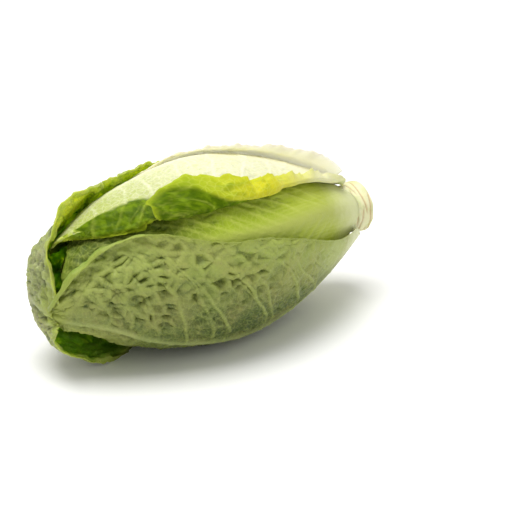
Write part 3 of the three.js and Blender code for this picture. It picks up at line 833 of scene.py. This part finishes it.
# ---- the heart: small leaves round a core, one golden angle apart ----
def rosetteTree():
    sockets = {"count": "Int", "turn": "Float", "shrink": "Float", "centre": "Vector"}
    make, asked = newGroup("rosette", sockets)
    told = {"Count": asked["count"], "Start Location": asked["centre"], "Offset": (0.0, 0.0, 0.0)}
    points = make.node("GeometryNodeMeshLine", {"mode": "OFFSET"}, told)
    index = make.node("GeometryNodeInputIndex")
    rotation = make.node("ShaderNodeCombineXYZ", {}, {0: index * asked["turn"]})
    size = 1 - index * asked["shrink"]
    told = {"Points": points, "Instance": asked["Geometry"], "Rotation": rotation, "Scale": size}
    return endGroup(make.node("GeometryNodeInstanceOnPoints", {}, told), asked["material"])


def joined(name, meshes):  # several meshes as one piece, each keeping its own materials and attributes
    parts = [newObject(name, mesh) for mesh in meshes]
    with bpy.context.temp_override(active_object=parts[0], selected_editable_objects=parts):
        bpy.ops.object.join()
    parts[0].data.shade_smooth()
    return parts[0]


def ringsOf(profile, around):  # (x, radius) stations turned round the head's axis, closed at both ends
    angles = np.linspace(0, 2 * math.pi, around, endpoint=False)
    x, r = np.array(profile, float).T
    y, z = -r[:, None] * np.cos(angles), axisHeight + r[:, None] * np.sin(angles)
    grid = np.stack([x[:, None] + 0 * angles, y, z], -1)
    points = np.concatenate([grid.reshape(-1, 3), [[x[0], 0, axisHeight], [x[-1], 0, axisHeight]]])
    faces, count = [], len(x) * around
    for k in range(around):
        after = (k + 1) % around
        faces.append([count, k, after])
        faces.append([count + 1, count - around + after, count - around + k])
        for row in range(len(x) - 1):
            low, high = row * around, (row + 1) * around
            faces.append([low + k, high + k, high + after, low + after])
    return points, faces


heart = {
    "count": 7, "shrink": 0.012, "coreDepth": 31.5, "around": 72, "stations": 40,
    "coreShares": (0.93, 0.02),  # from tip to root, so that the core's faces turn outwards
    "coreEdge": 9,  # as if the core's skin lay this far from any margin
    "leaf": {
        "name": "heartLeaf", "seed": 20,
        "depth": [(0, 31.5), (0.45, 30.6), (0.8, 28.6), (1, 28.2)], "rib": 75,
        "low": leafSide([(0, 53), (0.45, 29), (0.8, 33), (1, 45)]),
        "high": leafSide([(0, 97), (0.45, 121), (0.8, 117), (1, 105)]),
        "end": 0.93, "ribHeight": 0.5, "ribWidth": (4.0, 1.0), "halfColumns": 24, "rows": 48,
        "cellLength": 4.0, "cellWidth": 4.5, "hollowDepth": 0.35, "swellHeight": 0.5, "dashDepth": 0.2,
        "frill": 0.5, "ragged": 0.3, "veinSpacing": 8.0,
    },
}
heartLook = {
    "root": "ecebb4", "blade": "d6dc82", "tip": "b9c95a", "rootEnd": (0.2, 0.8), "rib": "efefc4",
    "vein": "e6e9ae", "hollow": "b4c25c", "glow": 0.2,
}


def heartCore():  # it carries what a leaf's material reads, all plain but for the place on it
    share = np.linspace(*heart["coreShares"], heart["stations"])
    x = headPoint(share, 0 * share, heart["coreDepth"])[:, 0]
    points, faces = ringsOf(np.stack([x, radiusAt(share, heart["coreDepth"])], -1), heart["around"])
    core = meshOf("heartCore", (points - [0, 0, head["pressed"]] + headShift) * mm, faces)
    for name in ("across", "rib", "edge", "band", "hollow", "ridge", "inside"):
        addAttribute(core, name, np.zeros(len(points)) + (heart["coreEdge"] if name == "edge" else 0))
    addAttribute(core, "alongLeaf", np.append(np.repeat(share, heart["around"]), share[[0, -1]]))
    addAttribute(core, "leafPlace", points)
    return core


def makeHeart():
    skin = leafMaterial("heartSkin", heartLook)
    leafMesh = leafShell(heart["leaf"], skin)
    axis = np.array([0, 0, axisHeight - head["pressed"]]) + headShift
    leafMesh.transform(Matrix.Translation(Vector(-axis * mm)))
    pattern = newObject("heartLeaf", leafMesh)
    told = {"count": heart["count"], "turn": -math.radians(goldenAngle), "shrink": heart["shrink"],
            "centre": tuple(axis * mm), "material": skin}
    leaves = runTree(pattern, rosetteTree(), told)
    bpy.data.objects.remove(pattern)
    core = heartCore()
    core.materials.append(skin)
    dressNode(joined("heartLeaves", [leaves, core]), "heart", "heart")


makeHeart()

# ---- the stem: a fluted stump with leaf scars, cut square, its sap strands showing in the cut ----
stem = {
    "from": 40.0, "gap": 0.3, "around": 144, "bevel": 1.3, "dish": 0.9, "cutBack": 0.25, "cutWave": 0.18,
    "neck": 13.0, "plainRows": 14, "neckRows": 26, "bevelRows": 6, "faceRows": 28,  # the neck is by the cut
    "flatness": 0.02,  # what lies this near the plane of the cut belongs to it
    "flutes": 8, "fluteDepth": 0.35, "fluteFrom": 20.0, "fluteTo": 8.0, "drawnIn": 0.2,
    "ringSpacing": 9.0, "ringDepth": 0.125,
    "scars": 9, "scarFrom": 2.4, "scarStep": 1.1, "scarCurve": 1.6, "scarDepth": 0.5,
    "strands": 46, "strandSize": 0.55, "strandSpread": 1.78, "strandTurn": 137.508, "strandBack": 0.75,
    "firstStrand": 9,  # the strands follow a spiral, and its first places, in the middle, stay free
}
stemLook = {
    "side": "e6e3b6", "sideGreen": "c3cf86", "cut": "ead9b4", "cutBrown": "b98d5a", "strand": "9d7448",
}


def stemRadius(x):  # just inside the leaves' root ends
    return head["rootRadius"] - head["rootTaper"] * (head["halfLength"] - x) / head["rootStep"] - stem["gap"]


def strandTree():
    sockets = {"count": "Int", "first": "Int", "turn": "Float", "spread": "Float", "size": "Float"}
    make, asked = newGroup("strands", {**sockets, "centre": "Vector"})
    index = make.node("GeometryNodeInputIndex") + asked["first"]
    angle = index * asked["turn"]
    out = make.math("SQRT", index) * asked["spread"]
    across = {0: 0.0, 1: out * make.math("COSINE", angle), 2: out * make.math("SINE", angle)}
    place = make.vector("ADD", make.node("ShaderNodeCombineXYZ", {}, across), asked["centre"])
    told = {"Count": asked["count"], "Offset": (0.0, 0.0, 0.0)}
    points = make.node("GeometryNodeMeshLine", {"mode": "OFFSET"}, told)
    points = make.node("GeometryNodeSetPosition", {}, {"Geometry": points, "Position": place})
    dot = make.node("GeometryNodeMeshUVSphere", {}, {"Segments": 10, "Rings": 6, "Radius": asked["size"]})
    chance = make.node("FunctionNodeRandomValue", {"data_type": "FLOAT"}, {2: 0.6, 3: 1.25, "Seed": 5}, 1)
    stretch = make.node("ShaderNodeCombineXYZ", {}, {0: chance * 0.55, 1: chance, 2: chance * 1.5})
    rotation = make.node("ShaderNodeCombineXYZ", {}, {0: angle})
    told = {"Points": points, "Instance": dot, "Rotation": rotation, "Scale": stretch}
    return endGroup(make.node("GeometryNodeInstanceOnPoints", {}, told), asked["material"])


def stemMaterial():
    material, make = newMaterial("stemSkin")
    place = make.node("ShaderNodeTexCoord", {}, {}, "Object")
    cut, outward, scar = map(make.layer, ("cutFace", "outward", "scar"))
    blots, grain = make.noise(place, 160.0, 4.0), make.noise(place, 900.0, 3.0)
    side = make.blend(colourOf(stemLook["side"]), colourOf(stemLook["sideGreen"]), blots.step(0.4, 0.7) * 0.6)
    side = make.blend(side, colourOf(stemLook["cutBrown"]), scar * (0.3 + grain * 0.6))
    rust = (blots.step(0.42, 0.62) * 0.55 + outward.step(0.72, 1.0) * 0.45) * (0.6 + grain * 0.6)
    face = make.blend(colourOf(stemLook["cut"]), colourOf(stemLook["cutBrown"]), rust)
    bump = {"Strength": 0.5, "Distance": 0.0005, "Height": blots + grain * 0.5}
    return painted(material, {
        "Base Color": make.blend(side, face, cut), "Roughness": 0.5 + (grain - 0.5) * 0.3 + cut * 0.12,
        "Normal": make.node("ShaderNodeBump", {}, bump),
        "Subsurface Weight": 0.2, "Subsurface Radius": (1.0, 0.8, 0.4), "Subsurface Scale": 0.002,
    })


def strandMaterial():
    material, make = newMaterial("strandSkin")
    blots = make.noise(make.node("ShaderNodeTexCoord", {}, {}, "Object"), 400.0, 3.0)
    tone = make.blend(colourOf(stemLook["strand"]), colourOf(stemLook["cut"]), blots.step(0.35, 0.75) * 0.7)
    return painted(material, {"Base Color": tone, "Roughness": 0.5 + blots * 0.2})


def stemProfile():  # (x, radius) from inside the leaves, round the bevel and in to the middle of the cut
    end, bevel, neck = head["stemFace"], stem["bevel"], head["stemFace"] - stem["neck"]
    along = np.concatenate([np.linspace(stem["from"], neck - 1, stem["plainRows"]),
                            np.linspace(neck, end - bevel, stem["neckRows"])])
    profile = [(x, stemRadius(x)) for x in along]
    inner = stemRadius(end - bevel) - bevel
    for k in range(1, stem["bevelRows"] + 1):
        turn = math.pi / 2 * k / stem["bevelRows"]
        profile.append((end - bevel + bevel * math.sin(turn), inner + bevel * math.cos(turn)))
    return profile + [(end, inner * share) for share in np.linspace(0.97, 0.04, stem["faceRows"])]


def scarsAt(x, angle):  # leaves that have gone left a curved line each, a golden angle apart
    scar = np.zeros(len(x))
    for k in range(stem["scars"]):
        off = (angle - k * math.radians(goldenAngle) + math.pi) % (2 * math.pi) - math.pi
        line = head["stemFace"] - stem["scarFrom"] - k * stem["scarStep"] + stem["scarCurve"] * off**2
        scar = np.maximum(scar, smooth(0.8, 0.1, np.abs(x - line)) * smooth(1.0, 0.7, np.abs(off)))
    return scar


def stemBody():
    end, bevel = head["stemFace"], stem["bevel"]
    full = stemRadius(end - bevel)
    points, faces = ringsOf(stemProfile(), stem["around"])
    x, y, z = points[:, 0], points[:, 1], points[:, 2] - axisHeight
    angle, out = np.arctan2(z, -y), np.hypot(y, z)
    onCut = x >= end - stem["flatness"]
    cut = smooth(end - stem["flatness"], end, x) * clamp01((full - bevel * 0.6 - out) / (bevel * 0.4) + 0.5)
    scar = scarsAt(x, angle) * (1 - cut)

    # flutes, rings and scars draw the side in, and the cut follows its outline
    lobes = np.sin(angle * stem["flutes"] + 1.6 * np.sin(angle * 2 + 0.7) + (x - end) * 0.09)
    rings = ripple((x - end) / stem["ringSpacing"] + 0.6 * np.sin(angle), 41) * stem["ringDepth"]
    squeeze = -stem["fluteDepth"] * (0.5 + 0.5 * lobes) - stem["drawnIn"] + rings - scar * stem["scarDepth"]
    side = smooth(stem["from"] + stem["fluteFrom"], end - stem["fluteTo"], x)
    scale = 1 + side * (1 - cut) * squeeze / np.maximum(out, 1) * (out > 1)
    scale = np.where(onCut, 1 + (squeeze / full) * clamp01(out / full), scale)
    y, z = y * scale, z * scale

    # the cut is a little dished, and the knife has left a wave in it
    dish = -stem["dish"] * smooth(1.0, 0.0, out / full) ** 1.5 * onCut
    wave = stem["cutWave"] * ripple(z / 9 + 0.08 * y, 43) * cut
    x = x + dish + wave - stem["cutBack"] * onCut
    body = meshOf("stem", (np.stack([x, y, z + axisHeight - head["pressed"]], -1) + headShift) * mm, faces)
    for name, values in {"cutFace": cut, "outward": out / full, "scar": scar}.items():
        addAttribute(body, name, values)
    body.materials.append(stemMaterial())
    return body


def stemStrands():
    start = newObject("strandSeed", meshOf("strandSeed", [(0, 0, 0)], []))
    place = [head["stemFace"] - stem["strandBack"], 0, axisHeight - head["pressed"]]
    told = {"count": stem["strands"], "first": stem["firstStrand"], "turn": math.radians(stem["strandTurn"]),
            "spread": stem["strandSpread"] * mm, "size": stem["strandSize"] * mm,
            "centre": tuple((np.array(place) + headShift) * mm), "material": strandMaterial()}
    strands = runTree(start, strandTree(), told)
    bpy.data.objects.remove(start)
    return strands


dressNode(joined("stemStump", [stemBody(), stemStrands()]), "stem", "stem")

# ---- floor, light and camera ----
stage = {
    "floorSize": 8.0, "floor": "fafaf8", "sky": 0.58,
    "keyLight": 19.0, "keySize": 1.0, "keyPlace": (-0.2, 0.1, 1.35), "keyAim": (0, 0, 0.05),
}


def stageMaterial():
    material, make = newMaterial("floorPaint")
    cloud = make.noise(make.node("ShaderNodeTexCoord", {}, {}, "Object"), 3.0)
    return painted(material, {
        "Base Color": colourOf(stage["floor"]), "Roughness": 0.75 + cloud * 0.1, "Specular IOR Level": 0.2,
    })


half = stage["floorSize"] / 2
corners = [(-half, -half, 0), (half, -half, 0), (half, half, 0), (-half, half, 0)]
floor = placePiece("floor", meshOf("floor", corners, [[0, 1, 2, 3]]), stageMaterial())

world = bpy.data.worlds.new("studio")
bpy.context.scene.world = world
world.use_nodes = True
background = world.node_tree.nodes["Background"]
background.inputs["Color"].default_value = (1, 1, 1, 1)
background.inputs["Strength"].default_value = stage["sky"]

light = bpy.data.lights.new("keyBox", "AREA")
light.size, light.energy = stage["keySize"], stage["keyLight"]
lamp = newObject("keyBox", light)
lamp.location = stage["keyPlace"]
aim = Vector(stage["keyAim"]) - Vector(stage["keyPlace"])
lamp.rotation_euler = aim.to_track_quat("-Z", "Y").to_euler()

view = {
    "turn": -37.0, "rise": 22.5, "distance": 1040.0, "lookAt": (30.0, 0.0, -12.5),
    "lens": 132.0, "sensor": 36.0,
}
turn, rise = math.radians(view["turn"]), math.radians(view["rise"])
back = Vector((math.sin(turn) * math.cos(rise), -math.cos(turn) * math.cos(rise), math.sin(rise)))
lookAt = Vector(view["lookAt"]) + Vector(headShift) + Vector((0, 0, axisMiddle.z))
camera = newObject("camera", bpy.data.cameras.new("camera"))
camera.data.lens, camera.data.sensor_width = view["lens"], view["sensor"]
camera.location = (lookAt + back * view["distance"]) * mm
camera.rotation_euler = (-back).to_track_quat("-Z", "Y").to_euler()
bpy.context.scene.camera = camera
bpy.context.scene.view_settings.view_transform = "Standard"
print("stage: floor, light and camera")

bpy.context.view_layer.update()
